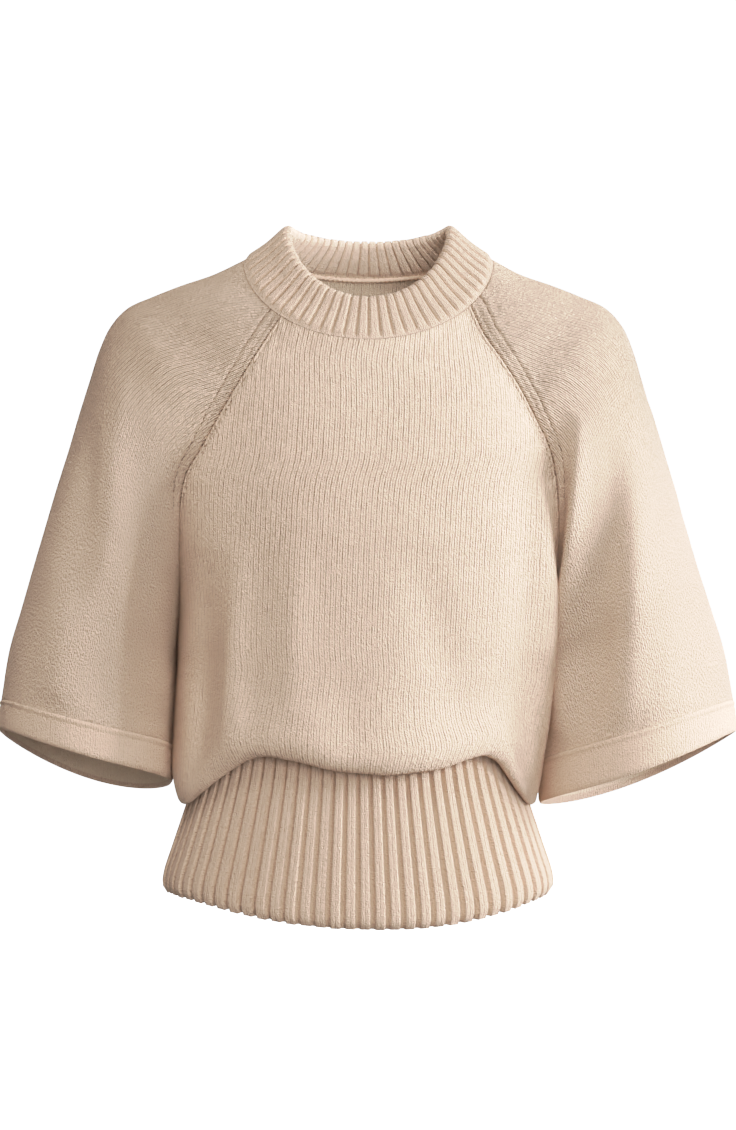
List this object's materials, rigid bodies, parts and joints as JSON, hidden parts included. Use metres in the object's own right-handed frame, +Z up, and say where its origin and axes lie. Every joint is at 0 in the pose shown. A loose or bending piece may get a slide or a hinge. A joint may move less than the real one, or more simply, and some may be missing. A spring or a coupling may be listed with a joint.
{
  "type": "cape sweater",
  "caption": "Boxy raglan jumper with wide short sleeves, a folded ribbed funnel collar and a deep ribbed waistband that the body blouses over, in the hollow form it takes when worn.",
  "frame": {"origin": "base of the neck, midway between the shoulders, where the garment hangs from its wearer", "axes": "+Z up, the front faces -Y, +X towards the right of the garment as seen from its front"},
  "size_m": [0.6262, 0.2309, 0.5843],
  "materials": {
    "back": "matte knitted yarn",
    "collar": "matte ribbed knit",
    "cuff_left": "matte knitted yarn",
    "cuff_right": "matte knitted yarn",
    "front": "matte knitted yarn",
    "sleeve_left": "matte knitted yarn",
    "sleeve_right": "matte knitted yarn",
    "waistband": "matte ribbed knit"
  },
  "bodies": {
    "root": {"back": "back", "collar": "collar", "cuff_left": "cuff_left", "cuff_right": "cuff_right", "front": "front", "sleeve_left": "sleeve_left", "sleeve_right": "sleeve_right", "waistband": "waistband"}
  },
  "joints": []
}
